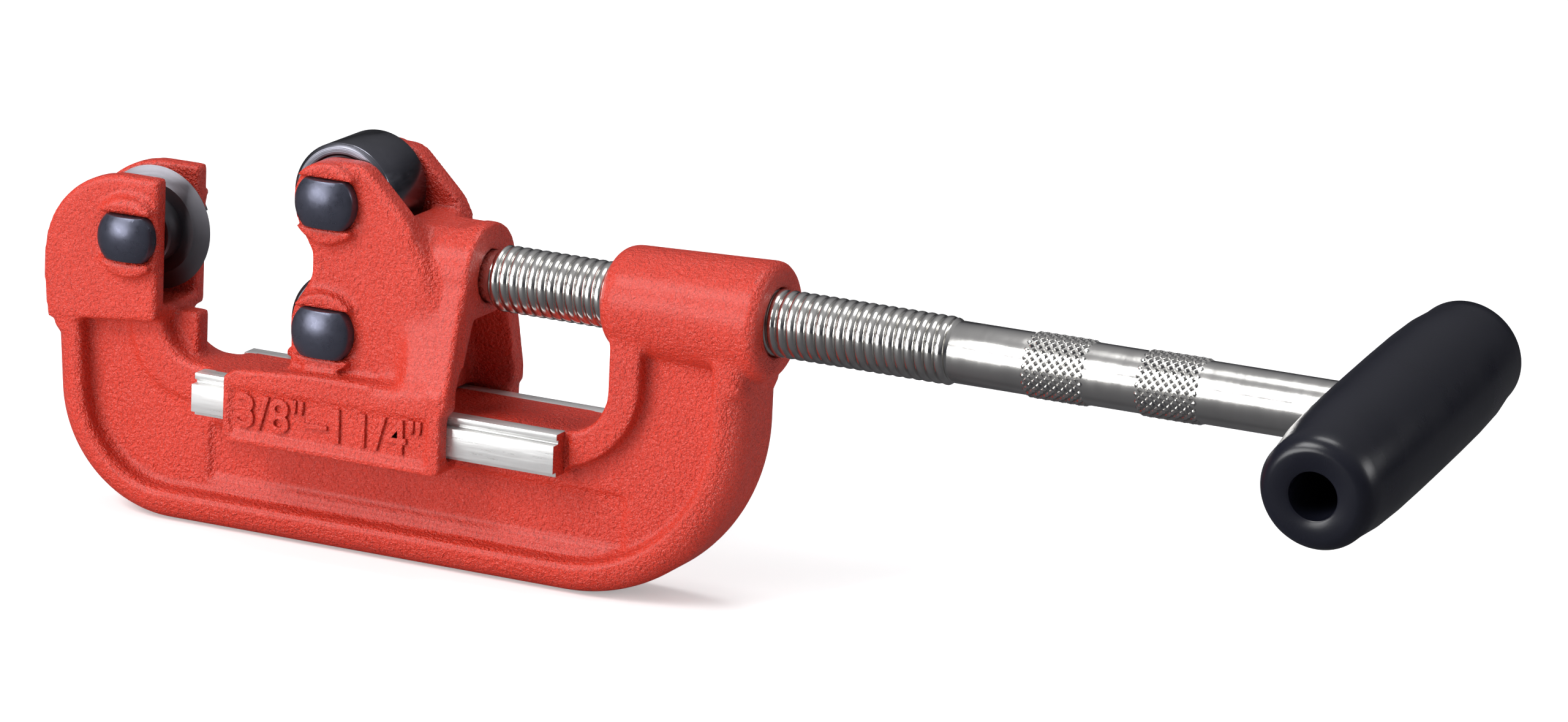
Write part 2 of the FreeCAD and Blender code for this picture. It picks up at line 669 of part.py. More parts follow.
def roller(label, up):
    body = newBody(label)
    recess = "roller_radius - roller_edge - roller_land"
    corners = (
        ("pin_radius + pin_fit", "-roller_half"),
        ("roller_hub", "-roller_half"),
        ("roller_hub", "-roller_half + roller_dish"),
        (recess, "-roller_half + roller_dish"),
        (recess, "-roller_half"),
        ("roller_radius - roller_edge", "-roller_half"),
        ("roller_radius", "-roller_half + roller_edge"),
        ("roller_radius", "roller_half - roller_edge"),
        ("roller_radius - roller_edge", "roller_half"),
        (recess, "roller_half"),
        (recess, "roller_half - roller_dish"),
        ("roller_hub", "roller_half - roller_dish"),
        ("roller_hub", "roller_half"),
        ("pin_radius + pin_fit", "roller_half"),
    )
    name = label.title().replace("_", "") + "Profile"
    spin(body, outline(body, top, name, corners), "V_Axis")
    body.setExpression("Placement.Base.x", bound("roller_axis"))
    body.setExpression("Placement.Base.z", bound(up))
    return body


rollerUpper = roller("roller_upper", "roller_rise")
rollerLower = roller("roller_lower", "-roller_rise")

# ---- slider casting --------------------------------------------------------

slider = newBody("slider")
skirtRight = "skirt_left + skirt_length"

cheekCorners = (
    ("roller_axis - cheek_left", "-roller_rise"),
    ("roller_axis - cheek_left", "-skirt_top - 1"),
    ("roller_axis + cheek_right + 1.5", "-skirt_top - 1"),
    ("roller_axis + cheek_right", "-base_top*0.4"),
    ("roller_axis + cheek_right - 1", "1.5", "12"),
    ("roller_axis + shoulder_in", "shoulder_up", "10"),
    ("roller_axis + 7", "roller_rise + cheek_top", "6"),
    ("roller_axis - cheek_left", "roller_rise + cheek_top", "cheek_round"),
    ("roller_axis - cheek_left", "roller_rise - 3.2", "3"),
    ("roller_axis - cheek_notch", "notch_half", "4"),
    ("roller_axis - cheek_notch", "-notch_half", "4"),
    ("roller_axis - cheek_left", "-roller_rise + 3.2", "3"),
)
pad(slider, outline(slider, front, "SliderCheeks", cheekCorners), "cheek_half")

# skirt over the rails
skirtCorners = (
    ("skirt_left", "-skirt_bottom", "1"),
    (skirtRight, "-skirt_bottom", "1"),
    (skirtRight, "-skirt_top + saddle_rise"),
    ("roller_axis", "-skirt_top + saddle_rise", "20"),
    ("skirt_left + 2", "-skirt_top", "2"),
    ("skirt_left", "-skirt_top - 1.5"),
)
pad(slider, outline(slider, front, "SliderSkirt", skirtCorners), "skirt_half")

# arched housing of the spindle
housingLeft = "roller_axis + roller_radius + 1"
archCorners = (
    ("-housing_half", "-skirt_top - 2"),
    ("housing_half", "-skirt_top - 2"),
    ("housing_half", "housing_half", "housing_half - 0.05"),
    ("-housing_half", "housing_half", "housing_half - 0.05"),
)
arch = outline(slider, side, "SliderHousing", archCorners, housingLeft)
padOneWay(slider, arch, "housing_right - roller_axis - roller_radius - 1")

# two legs flare from the arch down to the skirt
legCorners = (
    ("-skirt_half + 0.6", "-skirt_top - 2"),
    ("skirt_half - 0.6", "-skirt_top - 2"),
    ("skirt_half - 0.6", "-skirt_top + 1.5"),
    ("housing_half", "0"),
    ("-housing_half", "0"),
    ("-skirt_half + 0.6", "-skirt_top + 1.5"),
)
legs = outline(slider, side, "SliderLegs", legCorners, "housing_right - leg_length")
padOneWay(slider, legs, "leg_length - housing_lean")

for name, up in (("Upper", "roller_rise"), ("Lower", "-roller_rise")):
    pad(slider, disc(slider, front, "SliderRidge" + name, "roller_axis", up, "ridge_radius"),
        "cheek_half + slider_ridge")

# the ridges end flush with the left side of the cheeks
trimCorners = (
    ("roller_axis - ridge_radius - 3", "-roller_rise - ridge_radius"),
    ("roller_axis - cheek_left + 1.6", "-roller_rise - ridge_radius"),
    ("roller_axis - cheek_left + 1.6", "roller_rise + ridge_radius"),
    ("roller_axis - ridge_radius - 3", "roller_rise + ridge_radius"),
)
for name, level, flip in (("Front", "cheek_half", True), ("Back", "-cheek_half", False)):
    cut(slider, outline(slider, front, "RidgeTrim" + name, trimCorners, level),
        reach="slider_ridge + 1", reverse=flip)

# roller space between the cheeks, open at the left, above and below
spaceCorners = (
    ("skirt_left - 2", "-base_top - 2"),
    (housingLeft, "-base_top - 2"),
    (housingLeft, "roller_rise + cheek_top + 5"),
    ("skirt_left - 2", "roller_rise + cheek_top + 5"),
)
cut(slider, outline(slider, front, "RollerSpace", spaceCorners), half="roller_half + cheek_gap")

# valley between the cheeks, behind the upper roller
valleyCorners = (
    (housingLeft + " - 1", "valley_floor"),
    ("roller_axis + cheek_right + 3", "valley_floor"),
    ("roller_axis + cheek_right + 3", "roller_rise + cheek_top + 5"),
    (housingLeft + " - 1", "roller_rise + cheek_top + 5"),
)
cut(slider, outline(slider, front, "RollerValley", valleyCorners), half="roller_half + cheek_gap")

# hollow between the legs, under the spindle
hollowCorners = (
    ("-skirt_half + 0.6 + leg_wall", "-base_top - 1"),
    ("skirt_half - 0.6 - leg_wall", "-base_top - 1"),
    ("skirt_half - 0.6 - leg_wall", "-skirt_top + 1.5"),
    ("housing_half - leg_wall + 0.4", "-hollow_top"),
    ("-housing_half + leg_wall - 0.4", "-hollow_top"),
    ("-skirt_half + 0.6 + leg_wall", "-skirt_top + 1.5"),
)
hollow = outline(slider, side, "LegHollow", hollowCorners, "housing_right - hollow_deep")
cut(slider, hollow, reach="hollow_deep + 2", reverse=True)

# channel for the base bar and its rails
channelCorners = (
    ("-rail_half - rail_gap", "-base_top + rail_gap"),
    ("-rail_half - rail_gap", levelD + " - rail_gap"),
    ("-hook_half", levelD + " - rail_gap"),
    ("-hook_half", "-skirt_bottom - 1"),
    ("hook_half", "-skirt_bottom - 1"),
    ("hook_half", levelD + " - rail_gap"),
    ("rail_half + rail_gap", levelD + " - rail_gap"),
    ("rail_half + rail_gap", "-base_top + rail_gap"),
)
channel = outline(slider, side, "RailChannel", channelCorners, "skirt_left - 1")
cut(slider, channel, reach="skirt_length + 20", reverse=True)

for name, up in (("Upper", "roller_rise"), ("Lower", "-roller_rise")):
    hole = disc(slider, front, "RollerPinHole" + name, "roller_axis", up, "pin_radius")
    cut(slider, hole, half="cheek_half + slider_ridge + 1")
    seatCorners = (
        ("roller_axis - ridge_radius - 2", up + " - roller_head_flat - flat_gap"),
        ("roller_axis + ridge_radius + 1", up + " - roller_head_flat - flat_gap"),
        ("roller_axis + ridge_radius + 1", up + " + roller_head_flat + flat_gap"),
        ("roller_axis - ridge_radius - 2", up + " + roller_head_flat + flat_gap"),
    )
    for word, level, flip in (("Front", "cheek_half", True), ("Back", "-cheek_half", False)):
        seat = outline(slider, front, "Roller" + name + word, seatCorners, level)
        cut(slider, seat, reach="slider_ridge + 1.5", reverse=flip)
    ringSeat = disc(slider, front, "RingSeat" + name, "roller_axis", up, "clip_radius + ring_gap",
                    "-cheek_half")
    cut(slider, ringSeat, reach="slider_ridge + 1.5")

boreLeft = housingLeft + " + housing_wall"
neckBore = disc(slider, side, "NeckBore", "0", "0", "neck_radius + neck_fit", boreLeft)
cut(slider, neckBore, reach="housing_right - roller_axis - roller_radius", reverse=True)

keeperX = "housing_right - keeper_offset"
keeperHole = disc(slider, front, "KeeperHole", keeperX, "-neck_radius", "keeper_radius", "keeper_reach")
cut(slider, keeperHole, reach="keeper_reach + housing_half + 6")

panelLeft = "skirt_left + panel_edge"
panelRight = "skirt_left + skirt_length - 2*panel_edge"
panelCorners = (
    (panelLeft, "-panel_top - panel_height", "0.8"),
    (panelRight, "-panel_top - panel_height", "0.8"),
    (panelRight, "-panel_top", "0.8"),
    (panelLeft, "-panel_top", "0.8"),
)
panel = outline(slider, front, "SizePanel", panelCorners, "skirt_half - panel_deep")
cut(slider, panel, reach="panel_deep + 1", reverse=True)

# ---- hidden pieces in the housing ------------------------------------------

thrustDisc = newBody("thrust_disc")
padOneWay(thrustDisc, disc(thrustDisc, side, "ThrustDiscOutline", "0", "0", "neck_radius", boreLeft),
          "disc_thick")

keeper = newBody("keeper_pin")
keeperDisc = disc(keeper, front, "KeeperOutline", keeperX, "-neck_radius", "keeper_radius",
                  "-housing_half - keeper_sunk")
padOneWay(keeper, keeperDisc, "housing_half + keeper_sunk + keeper_reach - 0.2")

# ---- spindle ---------------------------------------------------------------

spindle = newBody("spindle")
tipX = boreLeft + " + disc_thick + 0.1"
neckEnd = "thread_left"
grooveRadius = "neck_radius - keeper_radius - groove_fit"
rodStart = "thread_left + thread_length"
spindleCorners = (
    (tipX, "0"),
    (tipX, "neck_radius - 0.8"),
    (tipX + " + 0.8", "neck_radius"),
    (keeperX + " - groove_half", "neck_radius"),
    (keeperX + " - groove_half", grooveRadius),
    (keeperX + " + groove_half", grooveRadius),
    (keeperX + " + groove_half", "neck_radius"),
    ("housing_right + neck_gap", "neck_radius"),
    (neckEnd, "thread_radius"),
    (rodStart + " - 0.6", "thread_radius"),
    (rodStart, "rod_radius"),
    ("knurl_first", "rod_radius"),
    ("knurl_first + 0.3", "rod_radius + knurl_height"),
    ("knurl_first + knurl_length - 0.3", "rod_radius + knurl_height"),
    ("knurl_first + knurl_length", "rod_radius"),
    ("knurl_second", "rod_radius"),
    ("knurl_second + 0.3", "rod_radius + knurl_height"),
    ("knurl_second + knurl_length - 0.3", "rod_radius + knurl_height"),
    ("knurl_second + knurl_length", "rod_radius"),
    ("handle_axis + spindle_past - 1", "rod_radius"),
    ("handle_axis + spindle_past", "rod_radius - 1"),
    ("handle_axis + spindle_past", "0"),
)
spin(spindle, outline(spindle, front, "SpindleProfile", spindleCorners), "H_Axis")

# ---- grip ------------------------------------------------------------------

grip = newBody("handle_grip")
gripCorners = (
    ("grip_bore", "-grip_half"),
    ("grip_face", "-grip_half"),
    ("grip_shoulder", "-grip_half + grip_nose", "grip_nose"),
    ("grip_radius", "-grip_half*0.35", "60"),
    ("grip_radius", "grip_half*0.35", "60"),
    ("grip_shoulder", "grip_half - grip_nose", "grip_nose"),
    ("grip_face", "grip_half"),
    ("grip_bore", "grip_half"),
)
spin(grip, outline(grip, top, "GripProfile", gripCorners), "V_Axis")
crossHole = disc(grip, side, "GripCrossHole", "0", "0", "rod_radius", "-grip_radius - 1")
cut(grip, crossHole, reach="grip_radius + 1 + spindle_past", reverse=True)
grip.Placement.Rotation = FreeCAD.Rotation(FreeCAD.Vector(1, 0, 0), values["grip_turn"])
grip.setExpression("Placement.Rotation.Angle", bound("grip_turn"))
grip.setExpression("Placement.Base.x", bound("handle_axis"))

# ---- check and write -------------------------------------------------------

doc.recompute()
for item in doc.Objects:
    if "Invalid" in item.State or "Error" in item.State:
        raise RuntimeError("failed object: " + item.Label + " " + str(item.State))

subparts = (
    frame, cutterPin, cutterRing, wheel, slider, pinUpper, pinLower, rollerRings,
    thrustDisc, keeper, rollerUpper, rollerLower, spindle, grip,
)
os.makedirs("parts", exist_ok=True)
for item in subparts:
    shape = item.Shape
    if shape.isNull() or not shape.isValid():
        raise RuntimeError("bad shape: " + item.Label)
for item in subparts:
    item.Shape.exportStep("parts/" + item.Label + ".step")
    box = item.Shape.BoundBox
    print(item.Label, round(item.Shape.Volume, 1), len(item.Shape.Solids),
          [round(v, 2) for v in (box.XMin, box.YMin, box.ZMin, box.XMax, box.YMax, box.ZMax)])
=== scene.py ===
import math

import bmesh
import bpy
from mathutils import Matrix, Vector


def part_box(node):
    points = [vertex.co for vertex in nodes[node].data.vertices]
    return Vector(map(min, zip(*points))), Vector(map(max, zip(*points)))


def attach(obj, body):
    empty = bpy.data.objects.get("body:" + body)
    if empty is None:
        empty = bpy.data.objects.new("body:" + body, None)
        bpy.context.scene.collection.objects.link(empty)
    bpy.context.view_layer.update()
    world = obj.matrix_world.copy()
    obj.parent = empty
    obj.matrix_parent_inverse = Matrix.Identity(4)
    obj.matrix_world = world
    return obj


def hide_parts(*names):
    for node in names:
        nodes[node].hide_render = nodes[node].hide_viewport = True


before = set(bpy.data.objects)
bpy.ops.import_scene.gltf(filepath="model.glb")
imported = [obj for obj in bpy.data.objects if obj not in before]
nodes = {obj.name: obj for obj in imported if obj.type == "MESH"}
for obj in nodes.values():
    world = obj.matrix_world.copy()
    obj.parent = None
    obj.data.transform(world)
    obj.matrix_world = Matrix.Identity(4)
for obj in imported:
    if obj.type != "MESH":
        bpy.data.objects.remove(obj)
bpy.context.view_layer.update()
mm = 0.001
print("frame loaded")


def placeObject(name, data):
    placed = bpy.data.objects.new(name, data)
    bpy.context.scene.collection.objects.link(placed)
    return placed


def finishPiece(name, bm, body, slotName, materials, *replaced, smoothAngle=35):
    mesh = bpy.data.meshes.new(name)
    bm.to_mesh(mesh)
    bm.free()
    mesh.shade_smooth()
    mesh.set_sharp_from_angle(angle=math.radians(smoothAngle))
    piece = placeObject(name, mesh)
    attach(piece, body)
    if replaced:
        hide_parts(*replaced)
    for material in materials:
        mesh.materials.append(material)
    return piece


def shapedMesh(holder):
    # the mesh that a modifier or a text gives; its holder is not kept
    bpy.context.view_layer.update()
    shaped = bpy.data.meshes.new_from_object(
        holder.evaluated_get(bpy.context.evaluated_depsgraph_get()))
    bpy.data.objects.remove(holder)
    return shaped


def lathe(points, steps=96):
    # profile points are (along x, radius); the solid is spun round the x axis
    bm = bmesh.new()
    ring = [bm.verts.new((x * mm, 0, r * mm)) for x, r in points]
    edges = [bm.edges.new(pair) for pair in zip(ring, ring[1:])]
    bmesh.ops.spin(bm, geom=ring + edges, cent=(0, 0, 0), axis=(1, 0, 0),
                   angle=math.tau, steps=steps, use_merge=True)
    bmesh.ops.remove_doubles(bm, verts=bm.verts, dist=1e-6)
    bmesh.ops.dissolve_degenerate(bm, edges=bm.edges, dist=1e-7)
    bmesh.ops.recalc_face_normals(bm, faces=bm.faces)
    return bm


def bothSides(side):
    # a profile's half, its mirror image and the point that closes it
    return side + [(-x, r) for x, r in reversed(side)] + side[:1]


def softenEdges(bm, width, minAngle, segments=2):
    # rounds every edge sharper than the angle
    sharp = [e for e in bm.edges if len(e.link_faces) == 2
             and e.calc_face_angle() > math.radians(minAngle)]
    bmesh.ops.bevel(bm, geom=sharp, offset=width * mm, offset_type="OFFSET", segments=segments,
                    profile=0.5, affect="EDGES", clamp_overlap=True, material=-1)


def smoothOut(bm, verts, steps):
    for step in range(steps):
        bmesh.ops.smooth_vert(bm, verts=verts, factor=0.5,
                              use_axis_x=True, use_axis_y=True, use_axis_z=True)


def faceOutward(bm):
    bmesh.ops.recalc_face_normals(bm, faces=bm.faces)
    top = max(bm.faces, key=lambda f: f.calc_center_median().z)
    if top.normal.z < 0:
        bmesh.ops.reverse_faces(bm, faces=bm.faces)


def turnTo(bm, direction, place):
    # the x axis goes to the direction and the origin to the place
    turn = Vector((1, 0, 0)).rotation_difference(Vector(direction)).to_matrix().to_4x4()
    bmesh.ops.transform(bm, matrix=Matrix.Translation(Vector(place)) @ turn, verts=bm.verts)


def centreOf(node):
    low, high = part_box(node)
    return (Vector(low) + Vector(high)) / 2


# node groups shared by the materials
def newGroup(name, inputs, outputs):
    group = bpy.data.node_groups.new(name, "ShaderNodeTree")
    for label, kind, value in inputs:
        socket = group.interface.new_socket(label, in_out="INPUT", socket_type=kind)
        if value is not None:
            socket.default_value = value
    for label, kind in outputs:
        group.interface.new_socket(label, in_out="OUTPUT", socket_type=kind)
    entry = group.nodes.new("NodeGroupInput")
    leave = group.nodes.new("NodeGroupOutput")
    return group, entry, leave


def addNode(tree, kind, **settings):
    node = tree.nodes.new(kind)
    for key, value in settings.items():
        if key in node.inputs:
            node.inputs[key].default_value = value
        else:
            setattr(node, key, value)
    return node


def castGrainGroup():
    # orange-peel lumps under a finer sandy grain
    group, entry, leave = newGroup(
        "castGrain",
        [("Scale", "NodeSocketFloat", 900.0), ("Fine", "NodeSocketFloat", 0.4)],
        [("Height", "NodeSocketFloat"), ("Patch", "NodeSocketFloat")])
    place = addNode(group, "ShaderNodeTexCoord")
    lumps = addNode(group, "ShaderNodeTexNoise", Detail=2.0, Roughness=0.5)
    sand = addNode(group, "ShaderNodeTexNoise", Detail=1.0, Roughness=0.6)
    broad = addNode(group, "ShaderNodeTexNoise", Scale=60.0, Detail=3.0)
    finer = addNode(group, "ShaderNodeMath", operation="MULTIPLY")
    finer.inputs[1].default_value = 2.6  # how much finer the sand is than the lumps
    part = addNode(group, "ShaderNodeMath", operation="MULTIPLY")
    total = addNode(group, "ShaderNodeMath", operation="ADD")
    link = group.links.new
    link(place.outputs["Object"], lumps.inputs["Vector"])
    link(place.outputs["Object"], sand.inputs["Vector"])
    link(place.outputs["Object"], broad.inputs["Vector"])
    link(entry.outputs["Scale"], lumps.inputs["Scale"])
    link(entry.outputs["Scale"], finer.inputs[0])
    link(finer.outputs[0], sand.inputs["Scale"])
    link(sand.outputs["Fac"], part.inputs[0])
    link(entry.outputs["Fine"], part.inputs[1])
    link(lumps.outputs["Fac"], total.inputs[0])
    link(part.outputs[0], total.inputs[1])
    link(total.outputs[0], leave.inputs["Height"])
    link(broad.outputs["Fac"], leave.inputs["Patch"])
    return group


def streakGroup():
    # fine tool marks: the noise is stretched by the three factors
    group, entry, leave = newGroup(
        "toolStreaks",
        [("Stretch", "NodeSocketVector", (1.0, 1.0, 1.0)), ("Scale", "NodeSocketFloat", 400.0)],
        [("Streak", "NodeSocketFloat"), ("Smudge", "NodeSocketFloat")])
    place = addNode(group, "ShaderNodeTexCoord")
    spread = addNode(group, "ShaderNodeVectorMath", operation="MULTIPLY")
    marks = addNode(group, "ShaderNodeTexNoise", Detail=4.0, Roughness=0.65)
    smudge = addNode(group, "ShaderNodeTexNoise", Scale=90.0, Detail=3.0, Distortion=0.6)
    link = group.links.new
    link(place.outputs["Object"], spread.inputs[0])
    link(entry.outputs["Stretch"], spread.inputs[1])
    link(spread.outputs[0], marks.inputs["Vector"])
    link(entry.outputs["Scale"], marks.inputs["Scale"])
    link(place.outputs["Object"], smudge.inputs["Vector"])
    link(marks.outputs["Fac"], leave.inputs["Streak"])
    link(smudge.outputs["Fac"], leave.inputs["Smudge"])
    return group


def ringGroup():
    # turned rings round an axis along y through the given centre
    group, entry, leave = newGroup(
        "turnedRings",
        [("Centre", "NodeSocketVector", (0.0, 0.0, 0.0)), ("Rings", "NodeSocketFloat", 3000.0)],
        [("Ring", "NodeSocketFloat")])
    place = addNode(group, "ShaderNodeTexCoord")
    shift = addNode(group, "ShaderNodeVectorMath", operation="SUBTRACT")
    flat = addNode(group, "ShaderNodeVectorMath", operation="MULTIPLY")
    flat.inputs[1].default_value = (1.0, 0.0, 1.0)
    length = addNode(group, "ShaderNodeVectorMath", operation="LENGTH")
    rings = addNode(group, "ShaderNodeTexNoise", Detail=2.0, Roughness=0.7)
    rings.noise_dimensions = "1D"
    link = group.links.new
    link(place.outputs["Object"], shift.inputs[0])
    link(entry.outputs["Centre"], shift.inputs[1])
    link(shift.outputs[0], flat.inputs[0])
    link(flat.outputs[0], length.inputs[0])
    link(length.outputs["Value"], rings.inputs["W"])
    link(entry.outputs["Rings"], rings.inputs["Scale"])
    link(rings.outputs["Fac"], leave.inputs["Ring"])
    return group


castGrain = castGrainGroup()
toolStreaks = streakGroup()
turnedRings = ringGroup()


def newMaterial(name, **settings):
    material = bpy.data.materials.new(name)
    material.use_nodes = True
    shader = material.node_tree.nodes["Principled BSDF"]
    for key, value in settings.items():
        shader.inputs[key].default_value = value
    return material, material.node_tree, shader


def placeGroup(tree, group, **settings):
    node = tree.nodes.new("ShaderNodeGroup")
    node.node_tree = group
    for key, value in settings.items():
        node.inputs[key].default_value = value
    return node


def mapRange(tree, source, low, high, fromLow=0.3, fromHigh=0.7):
    node = addNode(tree, "ShaderNodeMapRange")
    node.inputs["From Min"].default_value = fromLow
    node.inputs["From Max"].default_value = fromHigh
    node.inputs["To Min"].default_value = low
    node.inputs["To Max"].default_value = high
    tree.links.new(source, node.inputs["Value"])
    return node.outputs["Result"]


def mixColour(tree, factor, first, second):
    node = addNode(tree, "ShaderNodeMix", data_type="RGBA")
    node.inputs[6].default_value = first
    node.inputs[7].default_value = second
    tree.links.new(factor, node.inputs[0])
    return node.outputs[2]


def bump(tree, height, strength, distance):
    node = addNode(tree, "ShaderNodeBump")
    node.inputs["Strength"].default_value = strength
    node.inputs["Distance"].default_value = distance
    tree.links.new(height, node.inputs["Height"])
    return node.outputs["Normal"]


paintValues = {
    "red": (0.62, 0.034, 0.013, 1), "deepRed": (0.52, 0.024, 0.009, 1),
    "rough": (0.27, 0.40), "grainRange": (0.4, 1.1), "grainScale": 1500.0, "grainFine": 0.45,
    "grainStrength": 1.0, "grainDepth": 0.00085, "coat": 0.28, "coatRough": 0.34, "ior": 1.55,
}


def redPaint():
    material, tree, shader = newMaterial("redPaint", **{
        "Coat Weight": paintValues["coat"], "Coat Roughness": paintValues["coatRough"],
        "IOR": paintValues["ior"]})
    grain = placeGroup(tree, castGrain, Scale=paintValues["grainScale"],
                       Fine=paintValues["grainFine"])
    link = tree.links.new
    link(mixColour(tree, grain.outputs["Patch"], paintValues["red"], paintValues["deepRed"]),
         shader.inputs["Base Color"])
    link(mapRange(tree, grain.outputs["Height"], *paintValues["rough"], *paintValues["grainRange"]),
         shader.inputs["Roughness"])
    link(bump(tree, grain.outputs["Height"], paintValues["grainStrength"], paintValues["grainDepth"]),
         shader.inputs["Normal"])
    return material


metalValues = {
    "milledRail": {
        "light": (0.93, 0.93, 0.92, 1), "dark": (0.72, 0.72, 0.71, 1), "metallic": 0.72,
        "stretch": (0.05, 1.0, 1.0), "scale": 1700.0, "rough": (0.24, 0.42), "depth": 0.00006},
    "nickelPlate": {
        "light": (0.80, 0.79, 0.76, 1), "dark": (0.62, 0.61, 0.59, 1), "metallic": 1.0,
        "stretch": (1.0, 0.25, 0.25), "scale": 500.0, "rough": (0.13, 0.24), "depth": 0.000006},
    "blackOxide": {
        "light": (0.050, 0.052, 0.075, 1), "dark": (0.095, 0.10, 0.135, 1), "metallic": 0.75,
        "stretch": (1.0, 1.0, 1.0), "scale": 700.0, "rough": (0.24, 0.40), "depth": 0.00006},
    "springSteel": {
        "light": (0.38, 0.38, 0.39, 1), "dark": (0.22, 0.22, 0.23, 1), "metallic": 1.0,
        "stretch": (1.0, 1.0, 1.0), "scale": 900.0, "rough": (0.3, 0.45), "depth": 0.00001},
    "rollerBarrel": {
        "light": (0.26, 0.26, 0.30, 1), "dark": (0.09, 0.09, 0.11, 1), "metallic": 1.0,
        "stretch": (1.0, 0.3, 1.0), "scale": 600.0, "rough": (0.16, 0.28), "depth": 0.00001},
    "rollerEnds": {
        "light": (0.26, 0.26, 0.30, 1), "dark": (0.09, 0.09, 0.11, 1),
        "rings": 2200.0, "smudge": 300.0, "rough": (0.22, 0.42), "depth": 0.00010},
    "cuttingSteel": {
        "light": (0.20, 0.195, 0.215, 1), "dark": (0.10, 0.098, 0.11, 1),
        "rings": 5200.0, "smudge": 300.0, "rough": (0.36, 0.48), "depth": 0.000004},
}
markStrength = {"streak": 0.35, "ring": 0.5}


def streakMetal(name, kind):
    # drawn or plated metal with tool marks along or across it
    values = metalValues[kind]
    material, tree, shader = newMaterial(name, Metallic=values["metallic"])
    streaks = placeGroup(tree, toolStreaks, Stretch=values["stretch"], Scale=values["scale"])
    link = tree.links.new
    link(mixColour(tree, streaks.outputs["Smudge"], values["light"], values["dark"]),
         shader.inputs["Base Color"])
    link(mapRange(tree, streaks.outputs["Streak"], *values["rough"]), shader.inputs["Roughness"])
    link(bump(tree, streaks.outputs["Streak"], markStrength["streak"], values["depth"]),
         shader.inputs["Normal"])
    return material


def ringMetal(name, kind, centre):
    # turned metal with rings round the centre
    values = metalValues[kind]
    material, tree, shader = newMaterial(name, Metallic=1.0)
    turned = placeGroup(tree, turnedRings, Centre=centre, Rings=values["rings"])
    streaks = placeGroup(tree, toolStreaks, Scale=values["smudge"])
    link = tree.links.new
    link(mixColour(tree, streaks.outputs["Smudge"], values["light"], values["dark"]),
         shader.inputs["Base Color"])
    link(mapRange(tree, turned.outputs["Ring"], *values["rough"]), shader.inputs["Roughness"])
    link(bump(tree, turned.outputs["Ring"], markStrength["ring"], values["depth"]),
         shader.inputs["Normal"])
    return material


gripValues = {
    "black": (0.0035, 0.004, 0.008, 1), "worn": (0.008, 0.0085, 0.015, 1), "rough": (0.24, 0.36),
    "grainScale": 1800.0, "grainFine": 0.6, "grainStrength": 0.12, "grainDepth": 0.00006, "ior": 1.4,
}


def blackGrip():
    material, tree, shader = newMaterial("blackGrip", IOR=gripValues["ior"])
    grain = placeGroup(tree, castGrain, Scale=gripValues["grainScale"],
                       Fine=gripValues["grainFine"])
    link = tree.links.new
    link(mixColour(tree, grain.outputs["Patch"], gripValues["black"], gripValues["worn"]),
         shader.inputs["Base Color"])
    link(mapRange(tree, grain.outputs["Patch"], *gripValues["rough"]), shader.inputs["Roughness"])
    link(bump(tree, grain.outputs["Height"], gripValues["grainStrength"], gripValues["grainDepth"]),
         shader.inputs["Normal"])
    return material


redPaintMaterial = redPaint()
railMaterial = streakMetal("milledRail", "milledRail")
nickelMaterial = streakMetal("nickelPlate", "nickelPlate")
oxideMaterial = streakMetal("blackOxide", "blackOxide")
springMaterial = streakMetal("springSteel", "springSteel")
gripMaterial = blackGrip()
print("materials made")


# castings: softened copies of the CAD solids, so that every corner is cast round
castingValues = {"voxel": 0.55, "frameSmooth": 5, "sliderSmooth": 4, "smoothAngle": 60}


def softCasting(node, name, smoothSteps):
    bm = bmesh.new()
    bm.from_mesh(nodes[node].data)
    bmesh.ops.remove_doubles(bm, verts=bm.verts, dist=1e-6)
    bmesh.ops.recalc_face_normals(bm, faces=bm.faces)
    rough = bpy.data.meshes.new(name + "Rough")
    bm.to_mesh(rough)
    bm.free()
    holder = placeObject(name + "Holder", rough)
    remesh = holder.modifiers.new("even", "REMESH")
    remesh.mode = "VOXEL"
    remesh.voxel_size = castingValues["voxel"] * mm
    remesh.adaptivity = 0.0
    even = bmesh.new()
    even.from_mesh(shapedMesh(holder))
    smoothOut(even, even.verts, smoothSteps)
    return even


# rail sizes: heights go down from the top, steps go in from the half width
railValues = {
    "left": 16.1, "length": 78.5, "top": -25.4, "half": 12.6, "strip": 1.3, "stripStep": 1.2,
    "groove": 0.7, "grooveDeep": 2.0, "face": 5.5, "foot": 0.9, "footStep": 1.4, "root": 7.6,
    "backing": 8.1, "clearance": 1, "topClearance": 0.4, "edge": 0.16, "endFacing": 0.8,
}

rimValues = {
    "left": -18.0, "lean": 2.6, "right": 131.4, "top": -19.3, "bottom": -57.3, "leftRound": 25.0,
    "rightRound": 37.0, "half": 9.3, "bead": 5.6, "beadLeast": 0.5, "runOut": 4.0,
    "boss": -10.5,
}


